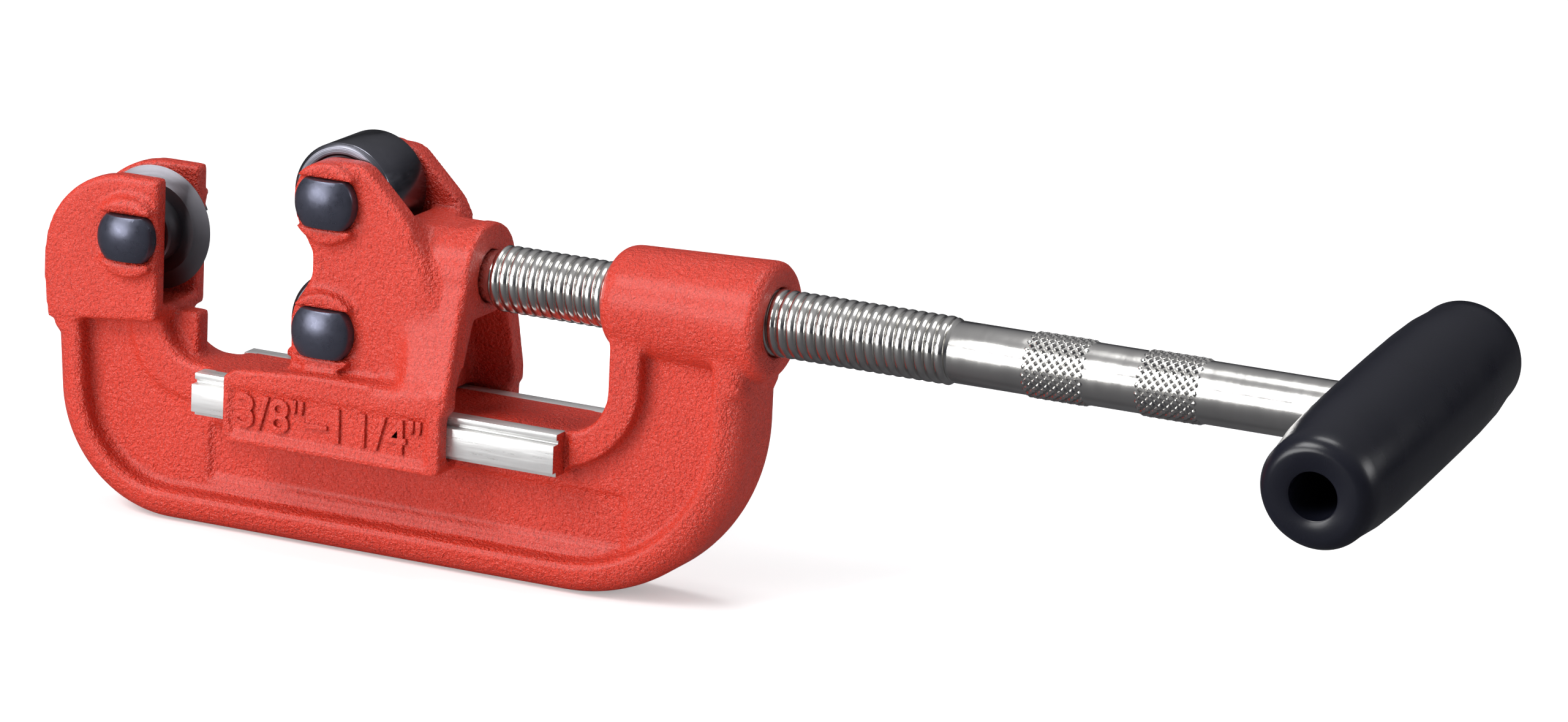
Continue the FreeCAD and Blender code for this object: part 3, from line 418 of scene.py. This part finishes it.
def rimDepth(x, z):
    # depth inside the frame's outline, the way in, and the share of the bead that is left there
    centreX = rimValues["right"] - rimValues["rightRound"]
    centreZ = rimValues["bottom"] + rimValues["rightRound"]
    bossRun = min(1.0, max(0.0, (rimValues["boss"] - z) / rimValues["runOut"]))
    headRun = min(1.0, max(0.0, (rimValues["top"] - z) / rimValues["runOut"]))
    slope = rimValues["lean"] / (rimValues["top"] - rimValues["bottom"])
    inward = Vector((1, slope)).normalized()
    leftZ = rimValues["bottom"] + rimValues["leftRound"]
    leftX = rimValues["left"] + (
        rimValues["leftRound"] - (leftZ - rimValues["top"]) * inward.y) / inward.x
    if x > centreX:
        if z > centreZ:
            return rimValues["right"] - x, Vector((-1, 0)), bossRun
        way = Vector((centreX - x, centreZ - z))
        return rimValues["rightRound"] - way.length, way.normalized(), bossRun
    if x < leftX:
        if z > leftZ - rimValues["leftRound"] * inward.y:
            depth = (x - rimValues["left"]) * inward.x + (z - rimValues["top"]) * inward.y
            return depth, inward, headRun
        way = Vector((leftX - x, leftZ - z))
        return rimValues["leftRound"] - way.length, way.normalized(), headRun
    return z - rimValues["bottom"], Vector((0, 1)), 1.0


def roundRim(bm):
    # the rim's outer edges are cast as a bead
    for vert in bm.verts:
        x, y, z = (part / mm for part in vert.co)
        rightStart = rimValues["right"] - rimValues["rightRound"]
        if z > rimValues["boss"] or (x < rightStart and z > rimValues["top"]):
            continue
        depth, way, run = rimDepth(x, z)
        bead = rimValues["bead"] * run
        across = abs(y) - (rimValues["half"] - bead)
        if bead < rimValues["beadLeast"] or depth > bead or across < 0:
            continue
        reach = math.hypot(bead - depth, across)
        if reach > bead:
            shrink = bead / reach
            move = (bead - depth) * (1 - shrink)
            vert.co.x += way.x * move * mm
            vert.co.z += way.y * move * mm
            vert.co.y = math.copysign((rimValues["half"] - bead + across * shrink) * mm, y)


def railLevels():
    levels = [railValues["top"]]
    for part in ("strip", "groove", "face", "foot"):
        levels.append(levels[-1] - railValues[part])
    return levels


def makeFrame():
    bm = softCasting("frame", "frameCasting", castingValues["frameSmooth"])
    roundRim(bm)
    # the bare rails are crisp pieces of their own, so the casting stands back behind them
    spare = railValues["clearance"]
    left = railValues["left"] * mm
    right = left + railValues["length"] * mm
    low = (railLevels()[-1] - spare) * mm
    high = (railValues["top"] + railValues["topClearance"]) * mm
    backing = railValues["backing"] * mm
    for vert in bm.verts:
        x, y, z = vert.co
        if left - spare * mm < x < right + spare * mm and low < z < high and abs(y) > backing:
            vert.co.y = math.copysign(backing, y)
    finishPiece("frameCasting", bm, "frame", "red_paint", [redPaintMaterial], "frame",
                smoothAngle=castingValues["smoothAngle"])


def makeRail(name, sideSign):
    top, stripFoot, grooveFoot, faceFoot, foot = railLevels()
    half = railValues["half"]
    root = railValues["root"]
    strip = half - railValues["stripStep"]
    groove = half - railValues["grooveDeep"]
    footHalf = half - railValues["footStep"]
    section = [
        (root, top), (strip, top), (strip, stripFoot), (groove, stripFoot), (groove, grooveFoot),
        (half, grooveFoot), (half, faceFoot), (footHalf, faceFoot), (footHalf, foot), (root, foot),
    ]
    bm = bmesh.new()
    left = railValues["left"] * mm
    corners = [bm.verts.new((left, sideSign * y * mm, z * mm)) for y, z in section]
    face = bm.faces.new(corners)
    made = bmesh.ops.extrude_face_region(bm, geom=[face])
    moved = [item for item in made["geom"] if isinstance(item, bmesh.types.BMVert)]
    bmesh.ops.translate(bm, verts=moved, vec=(railValues["length"] * mm, 0, 0))
    bmesh.ops.recalc_face_normals(bm, faces=bm.faces)
    softenEdges(bm, railValues["edge"], minAngle=40)
    piece = finishPiece(name, bm, "frame", "red_paint", [railMaterial, redPaintMaterial])
    for polygon in piece.data.polygons:
        if abs(polygon.normal.x) > railValues["endFacing"]:
            polygon.material_index = 1  # the ends are painted over


makeFrame()
makeRail("railFront", -1)
makeRail("railBack", 1)
print("frame casting and rails made")


# the part of the slider where its legs run into the cheeks without an edge
blendValues = {"steps": 30, "left": 57, "right": 69, "low": -23, "high": 8, "side": 9.5}


def makeSlider():
    bm = softCasting("slider", "sliderCasting", castingValues["sliderSmooth"])
    left, right, low, high, side = (
        blendValues[key] * mm for key in ("left", "right", "low", "high", "side"))
    blend = [v for v in bm.verts
             if left < v.co.x < right and low < v.co.z < high and abs(v.co.y) > side]
    smoothOut(bm, blend, blendValues["steps"])
    finishPiece("sliderCasting", bm, "slider", "red_paint", [redPaintMaterial], "slider",
                smoothAngle=castingValues["smoothAngle"])


textValues = {
    "words": "3/8\"–1 1/4\"", "height": 9.3, "raise": 0.7, "middle": (48.2, -15.95, -30.1),
    "bevel": 0.12, "bevelSteps": 2, "curveSteps": 6, "weight": 0.06, "wordGap": 0.35,
}


def makeSizeText():
    curve = bpy.data.curves.new("sizeText", "FONT")
    curve.body = textValues["words"]
    curve.size = textValues["height"]
    curve.align_x = "CENTER"
    curve.align_y = "CENTER"
    curve.extrude = textValues["raise"] / 2
    curve.bevel_depth = textValues["bevel"]
    curve.bevel_resolution = textValues["bevelSteps"]
    curve.resolution_u = textValues["curveSteps"]
    curve.offset = textValues["weight"]
    curve.space_word = textValues["wordGap"]
    bm = bmesh.new()
    bm.from_mesh(shapedMesh(placeObject("sizeTextHolder", curve)))
    bmesh.ops.remove_doubles(bm, verts=bm.verts, dist=1e-3)
    place = Matrix.Translation(Vector(textValues["middle"]) * mm)
    turn = Matrix.Rotation(math.pi / 2, 4, "X")
    bmesh.ops.transform(bm, matrix=place @ turn @ Matrix.Scale(mm, 4), verts=bm.verts)
    finishPiece("sizeText", bm, "slider", "red_paint", [redPaintMaterial], smoothAngle=40)


makeSlider()
makeSizeText()
print("slider made")


# spindle: places along x and radii
spindleValues = {
    "nose": 4.2, "noseLength": 0.8, "tip": 5.0, "tipRight": 74.4, "neck": 3.4, "neckLeft": 65.5,
    "neckRight": 69.1, "core": 5.5, "coreLeft": 75.6, "coreRight": 170.4, "rod": 5.83,
    "rodLeft": 171.2, "chamfer": 1,
}
threadValues = {
    "left": 75.7, "right": 171.0, "pitch": 2.0, "crest": 6.4, "rootRise": 0.06, "fullness": 0.32,
    "profileSteps": 12, "stepsPerTurn": 56, "endSunk": 0.08, "endSlope": 0.75,
}
knurlValues = {
    "first": 185.2, "second": 207.6, "length": 13.2, "count": 22, "rise": 0.75, "flatTop": 0.72,
    "fade": 1.5, "sunk": 0.16, "edgeSunk": 0.2, "edge": 0.01, "fine": 6,
}


def makeRod():
    low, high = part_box("spindle")
    left = low[0] / mm
    right = high[0] / mm
    rod = spindleValues["rod"]
    core = spindleValues["core"]
    tip = spindleValues["tip"]
    neck = spindleValues["neck"]
    chamfer = spindleValues["chamfer"]
    points = [
        (left, 0.0), (left, spindleValues["nose"]), (left + spindleValues["noseLength"], tip),
        (spindleValues["neckLeft"], tip), (spindleValues["neckLeft"], neck),
        (spindleValues["neckRight"], neck), (spindleValues["neckRight"], tip),
        (spindleValues["tipRight"], tip), (spindleValues["coreLeft"], core),
        (spindleValues["coreRight"], core), (spindleValues["rodLeft"], rod),
    ]
    for start in (knurlValues["first"], knurlValues["second"]):
        points += [(start, rod), (start + knurlValues["length"], rod)]
    points += [(right - chamfer, rod), (right, rod - chamfer), (right, 0.0)]
    finishPiece("spindleRod", lathe(points), "spindle", "nickel_plate", [nickelMaterial], "spindle",
                smoothAngle=30)


def makeThread():
    pitch = threadValues["pitch"]
    root = spindleValues["core"] + threadValues["rootRise"]
    tall = threadValues["crest"] - root
    start, stop = threadValues["left"], threadValues["right"]
    # round crests with narrow grooves between them
    profileSteps = threadValues["profileSteps"]
    shape = [(pitch * i / profileSteps,
              root + tall * math.sin(math.pi * i / profileSteps) ** threadValues["fullness"])
             for i in range(profileSteps + 1)]
    bm = bmesh.new()
    ring = [bm.verts.new(((start - pitch + x) * mm, 0, r * mm)) for x, r in shape]
    edges = [bm.edges.new(pair) for pair in zip(ring, ring[1:])]
    steps = threadValues["stepsPerTurn"]
    turns = int((stop - start) / pitch) + 2
    bmesh.ops.spin(bm, geom=ring + edges, cent=(0, 0, 0), axis=(1, 0, 0), angle=math.tau * turns,
                   steps=steps * turns, dvec=(pitch * mm / steps, 0, 0), use_merge=False)
    bmesh.ops.remove_doubles(bm, verts=bm.verts, dist=2e-6)
    for cutX, outward in ((start, -1), (stop, 1)):
        bmesh.ops.bisect_plane(bm, geom=bm.verts[:] + bm.edges[:] + bm.faces[:], dist=1e-7,
                               plane_co=(cutX * mm, 0, 0), plane_no=(outward, 0, 0),
                               clear_outer=True)
    # the ends run out on a chamfer
    for vert in bm.verts:
        x = vert.co.x / mm
        near = min(x - start, stop - x)
        radius = math.hypot(vert.co.y, vert.co.z) / mm
        limit = root - threadValues["endSunk"] + near * threadValues["endSlope"]
        if radius > limit:
            vert.co.y *= limit / radius
            vert.co.z *= limit / radius
    faceOutward(bm)
    finishPiece("spindleThread", bm, "spindle", "nickel_plate", [nickelMaterial], smoothAngle=50)


def makeKnurl(name, start):
    length = knurlValues["length"]
    count = knurlValues["count"]
    fine = knurlValues["fine"]
    rod = spindleValues["rod"]
    rows = round(length / (math.tau * rod / count))
    bm = bmesh.new()
    bmesh.ops.create_grid(bm, x_segments=rows * fine, y_segments=count * fine, size=0.5)
    for vert in bm.verts:
        along = (vert.co.x + 0.5) * rows
        around = (vert.co.y + 0.5) * count
        first = (along + around) % 1.0
        second = (along - around) % 1.0
        ridge = min(first, 1 - first, second, 1 - second) * 2
        edge = min(along, rows - along)
        fade = min(1.0, edge * knurlValues["fade"])
        radius = rod - knurlValues["sunk"] + (
            min(ridge, knurlValues["flatTop"]) * knurlValues["rise"] * fade)
        if edge < knurlValues["edge"]:
            radius = rod - knurlValues["edgeSunk"]
        angle = around / count * math.tau
        vert.co = ((start + along / rows * length) * mm, radius * math.sin(angle) * mm,
                   radius * math.cos(angle) * mm)
    bmesh.ops.remove_doubles(bm, verts=bm.verts, dist=1e-6)
    faceOutward(bm)
    finishPiece(name, bm, "spindle", "nickel_plate", [nickelMaterial], smoothAngle=18)


makeRod()
makeThread()
makeKnurl("knurlFirst", knurlValues["first"])
makeKnurl("knurlSecond", knurlValues["second"])
print("spindle made")


# grip: the profile is (distance from the end, radius) from the bore to the middle
gripShape = {
    "half": 39.8, "bore": 4.5, "boreStep": 6, "turn": 6.5, "along": 256,
    "profile": [(1.0, 4.5), (0.3, 4.6), (0, 5.0), (0, 8.1), (0.12, 8.7), (0.9, 9.85), (2.4, 10.7),
                (5.5, 10.88), (12, 11.6), (20, 11.92), (30, 12.03), (39.8, 12.05)],
}


def makeGrip():
    half = gripShape["half"]
    points = [(-half + inset, radius) for inset, radius in gripShape["profile"]]
    mirrored = [(-x, r) for x, r in reversed(points[:-1])]
    inner = [(half - gripShape["boreStep"], gripShape["bore"]),
             (-half + gripShape["boreStep"], gripShape["bore"])]
    bm = lathe(points + mirrored + inner + points[:1], steps=128)
    turn = math.radians(gripShape["turn"])
    turnTo(bm, (0, math.cos(turn), math.sin(turn)), (gripShape["along"] * mm, 0, 0))
    finishPiece("gripBarrel", bm, "spindle", "black_grip", [gripMaterial], "handle_grip",
                smoothAngle=40)


makeGrip()
print("grip made")


# rollers and wheel
rollerShape = {
    "half": 7.65, "radius": 10.49, "bore": 4.04, "hub": 5.5, "recessIn": 5.7, "recessOut": 8.1,
    "recessDeep": 0.35, "land": 8.35, "edgeAlong": 0.7, "edgeDown": 0.75, "soft": 0.14,
    "endFacing": 0.6,
}


def makeRoller(name, node, body):
    middle = centreOf(node)
    half = rollerShape["half"]
    radius = rollerShape["radius"]
    floor = -half + rollerShape["recessDeep"]
    side = [
        (-half, rollerShape["bore"]), (-half, rollerShape["hub"]), (floor, rollerShape["recessIn"]),
        (floor, rollerShape["recessOut"]), (-half, rollerShape["land"]),
        (-half, radius - rollerShape["edgeDown"]), (-half + rollerShape["edgeAlong"], radius),
    ]
    bm = lathe(bothSides(side), steps=128)
    softenEdges(bm, rollerShape["soft"], minAngle=25)
    turnTo(bm, (0, 1, 0), middle)
    barrel = streakMetal(name + "Barrel", "rollerBarrel")
    ends = ringMetal(name + "Ends", "rollerEnds", tuple(middle))
    piece = finishPiece(name, bm, body, "tool_steel", [barrel, ends], node, smoothAngle=30)
    for polygon in piece.data.polygons:
        if abs(polygon.normal.y) > rollerShape["endFacing"]:
            polygon.material_index = 1


wheelShape = {
    "half": 5.7, "bore": 4.04, "hub": 6.6, "hubEdge": 0.4, "discHalf": 1.1, "shoulder": 9.05,
    "bevelHalf": 0.75, "bevel": 9.9, "edgeHalf": 0.05, "radius": 12.23, "drop": -1.1,
}


def makeWheel():
    half = wheelShape["half"]
    hub = wheelShape["hub"]
    side = [
        (-half, wheelShape["bore"]), (-half, hub - wheelShape["hubEdge"]),
        (-half + wheelShape["hubEdge"], hub), (-wheelShape["discHalf"], hub),
        (-wheelShape["discHalf"], wheelShape["shoulder"]),
        (-wheelShape["bevelHalf"], wheelShape["bevel"]),
        (-wheelShape["edgeHalf"], wheelShape["radius"]),
    ]
    bm = lathe(bothSides(side), steps=144)
    turnTo(bm, (0, 1, 0), centreOf("cutter_wheel"))
    steel = ringMetal("cuttingSteel", "cuttingSteel", (0, 0, wheelShape["drop"] * mm))
    finishPiece("cuttingDisc", bm, "cutting_wheel", "tool_steel", [steel], "cutter_wheel",
                smoothAngle=20)


makeRoller("rollerUpper", "roller_upper", "upper_roller")
makeRoller("rollerLower", "roller_lower", "lower_roller")
makeWheel()
print("rollers and wheel made")


# pins: a domed head with two flats, a shaft and a groove for its ring
pinShape = {
    "shaft": 4.0, "side": 2.4, "dome": 2.0, "domeShares": (0.12, 0.3, 0.5, 0.7, 0.86),
    "brimIn": 0.25, "brimUp": 0.12, "brimDown": 0.35, "groove": 3.4, "grooveLength": 1,
    "tailStart": 1.9, "tailLength": 2.4, "tailEnd": 3.5, "soft": 0.22,
}
cutterPin = {"head": 6.0, "flat": 4.4, "seat": 9.75}
rollerPin = {"head": 6.3, "flat": 4.65, "seat": 12.4}


def makePin(name, node, body, sizes):
    centre = centreOf(node)
    head = sizes["head"]
    seat = sizes["seat"]
    shaft = pinShape["shaft"]
    groove = pinShape["groove"]
    grooveEnd = seat + pinShape["grooveLength"]
    tailEnd = seat + pinShape["tailLength"]
    dome = pinShape["dome"]
    brim = -seat - pinShape["side"]
    sphere = (head ** 2 + dome ** 2) / (2 * dome)
    points = [(brim - dome, 0.0)]
    for share in pinShape["domeShares"]:
        r = head * share
        points.append((brim - dome + sphere - math.sqrt(sphere ** 2 - r ** 2), r))
    points += [
        (brim - pinShape["brimUp"], head - pinShape["brimIn"]), (brim + pinShape["brimDown"], head),
        (-seat, head), (-seat, shaft), (seat, shaft), (seat, groove), (grooveEnd, groove),
        (grooveEnd, shaft), (seat + pinShape["tailStart"], shaft), (tailEnd, pinShape["tailEnd"]),
        (tailEnd, 0.0),
    ]
    bm = lathe(points)
    for sign in (-1, 1):
        # the two flats of the head; the shaft is thinner than they are
        made = bmesh.ops.bisect_plane(bm, geom=bm.verts[:] + bm.edges[:] + bm.faces[:], dist=1e-7,
                                      plane_co=(0, 0, sign * sizes["flat"] * mm),
                                      plane_no=(0, 0, sign), clear_outer=True)
        rim = [item for item in made["geom_cut"] if isinstance(item, bmesh.types.BMEdge)]
        bmesh.ops.holes_fill(bm, edges=rim, sides=0)
    bmesh.ops.recalc_face_normals(bm, faces=bm.faces)
    softenEdges(bm, pinShape["soft"], minAngle=40, segments=3)
    turnTo(bm, (0, 1, 0), (centre.x, 0, centre.z))
    finishPiece(name, bm, body, "black_steel", [oxideMaterial], node)


makePin("cutterPin", "cutter_pin", "frame", cutterPin)
makePin("pinUpper", "roller_pin_upper", "slider", rollerPin)
makePin("pinLower", "roller_pin_lower", "slider", rollerPin)
for nodeName in ("cutter_pin_clip", "roller_pin_clips", "keeper_pin", "thrust_disc"):
    nodes[nodeName].data.materials.clear()
    nodes[nodeName].data.materials.append(springMaterial)
print("pins made")


# stage: floor with a curved back, lights and camera
stageValues = {
    "floor": -57.5, "front": -3.0, "back": 2.4, "width": 5.0, "curve": 1.0, "curveSteps": 16,
    "rough": 0.8, "glow": 0.30, "pale": (0.90, 0.90, 0.90, 1), "reflected": (0.06, 0.06, 0.065, 1),
    "skyLow": (0.04, 0.04, 0.05, 1), "skyHigh": (0.42, 0.42, 0.43, 1), "skyMix": (0.15, 0.9),
}


def makeStage():
    bm = bmesh.new()
    level = stageValues["floor"] * mm
    half = stageValues["width"] / 2
    front = stageValues["front"]
    back = stageValues["back"]
    line = [bm.verts.new((-half, front, level)), bm.verts.new((half, front, level))]
    edge = bm.edges.new(line)
    made = bmesh.ops.extrude_edge_only(bm, edges=[edge])
    row = [item for item in made["geom"] if isinstance(item, bmesh.types.BMVert)]
    bmesh.ops.translate(bm, verts=row, vec=(0, back - front, 0))
    last = [item for item in made["geom"] if isinstance(item, bmesh.types.BMEdge)
            and all(v in row for v in item.verts)]
    bmesh.ops.spin(bm, geom=row + last, cent=(0, back, level + stageValues["curve"]),
                   axis=(1, 0, 0), angle=math.pi / 2, steps=stageValues["curveSteps"],
                   use_merge=False)
    bmesh.ops.recalc_face_normals(bm, faces=bm.faces)
    mesh = bpy.data.meshes.new("floor")
    bm.to_mesh(mesh)
    bm.free()
    mesh.shade_smooth()
    floor = placeObject("floor", mesh)
    material, tree, shader = newMaterial("paleFloor", Roughness=stageValues["rough"])
    # the floor is darker in reflections, so that the bright metals keep their contrast
    ray = addNode(tree, "ShaderNodeLightPath")
    tree.links.new(mixColour(tree, ray.outputs["Is Glossy Ray"], stageValues["pale"],
                             stageValues["reflected"]), shader.inputs["Base Color"])
    glow = addNode(tree, "ShaderNodeMath", operation="MULTIPLY")
    glow.inputs[1].default_value = stageValues["glow"]
    tree.links.new(ray.outputs["Is Camera Ray"], glow.inputs[0])
    tree.links.new(glow.outputs[0], shader.inputs["Emission Strength"])
    shader.inputs["Emission Color"].default_value = (1, 1, 1, 1)
    mesh.materials.append(material)


lightValues = {
    "key": {"place": (-0.55, -1.10, 1.15), "size": 0.9, "power": 21},
    "front": {"place": (-0.78, -1.45, 0.20), "size": 1.2, "power": 27},
    "top": {"place": (0.1, 0.15, 1.6), "size": 0.8, "power": 11},
    "edge": {"place": (1.3, 0.6, 0.5), "size": 0.5, "power": 4},
}
lightTarget = (0.1, 0, 0)
lightShape = 0.7  # height of a light over its width


def makeLights():
    target = Vector(lightTarget)
    for name, values in lightValues.items():
        data = bpy.data.lights.new(name, "AREA")
        data.shape = "RECTANGLE"
        data.size = values["size"]
        data.size_y = values["size"] * lightShape
        data.energy = values["power"]
        lamp = placeObject(name, data)
        place = Vector(values["place"])
        aim = (place - target).to_track_quat("Z", "Y").to_matrix().to_4x4()
        lamp.matrix_world = Matrix.Translation(place) @ aim


def makeWorld():
    # a pale sky for the metals to reflect, plain white behind the part
    world = bpy.data.worlds.new("studio")
    bpy.context.scene.world = world
    world.use_nodes = True
    tree = world.node_tree
    back = tree.nodes["Background"]
    place = addNode(tree, "ShaderNodeTexCoord")
    split = addNode(tree, "ShaderNodeSeparateXYZ")
    ray = addNode(tree, "ShaderNodeLightPath")
    tree.links.new(place.outputs["Generated"], split.inputs[0])
    height = mapRange(tree, split.outputs["Z"], 0.0, 1.0, *stageValues["skyMix"])
    sky = mixColour(tree, height, stageValues["skyLow"], stageValues["skyHigh"])
    white = addNode(tree, "ShaderNodeMix", data_type="RGBA")
    white.inputs[7].default_value = (1, 1, 1, 1)
    tree.links.new(sky, white.inputs[6])
    tree.links.new(ray.outputs["Is Camera Ray"], white.inputs[0])
    tree.links.new(white.outputs[2], back.inputs["Color"])
    back.inputs["Strength"].default_value = 1.0


cameraValues = {
    "place": (647.12, -1108.38, 312.64), "right": (0.90195, 0.42943, 0.04552),
    "down": (0.14882, -0.21014, -0.96628), "ahead": (-0.40538, 0.87831, -0.25345), "lens": 155.6,
    "sensor": 36, "near": 0.05, "far": 20,
}


def makeCamera():
    data = bpy.data.cameras.new("camera")
    data.lens = cameraValues["lens"]
    data.sensor_width = cameraValues["sensor"]
    data.clip_start = cameraValues["near"]
    data.clip_end = cameraValues["far"]
    camera = placeObject("camera", data)
    right = Vector(cameraValues["right"])
    up = -Vector(cameraValues["down"])
    back = -Vector(cameraValues["ahead"])
    turn = Matrix((right, up, back)).transposed().to_4x4()
    camera.matrix_world = Matrix.Translation(Vector(cameraValues["place"]) * mm) @ turn
    bpy.context.scene.camera = camera


makeStage()
makeLights()
makeWorld()
makeCamera()
bpy.context.scene.view_settings.view_transform = "Standard"
bpy.context.scene.view_settings.look = "None"
print("stage, lights and camera made")
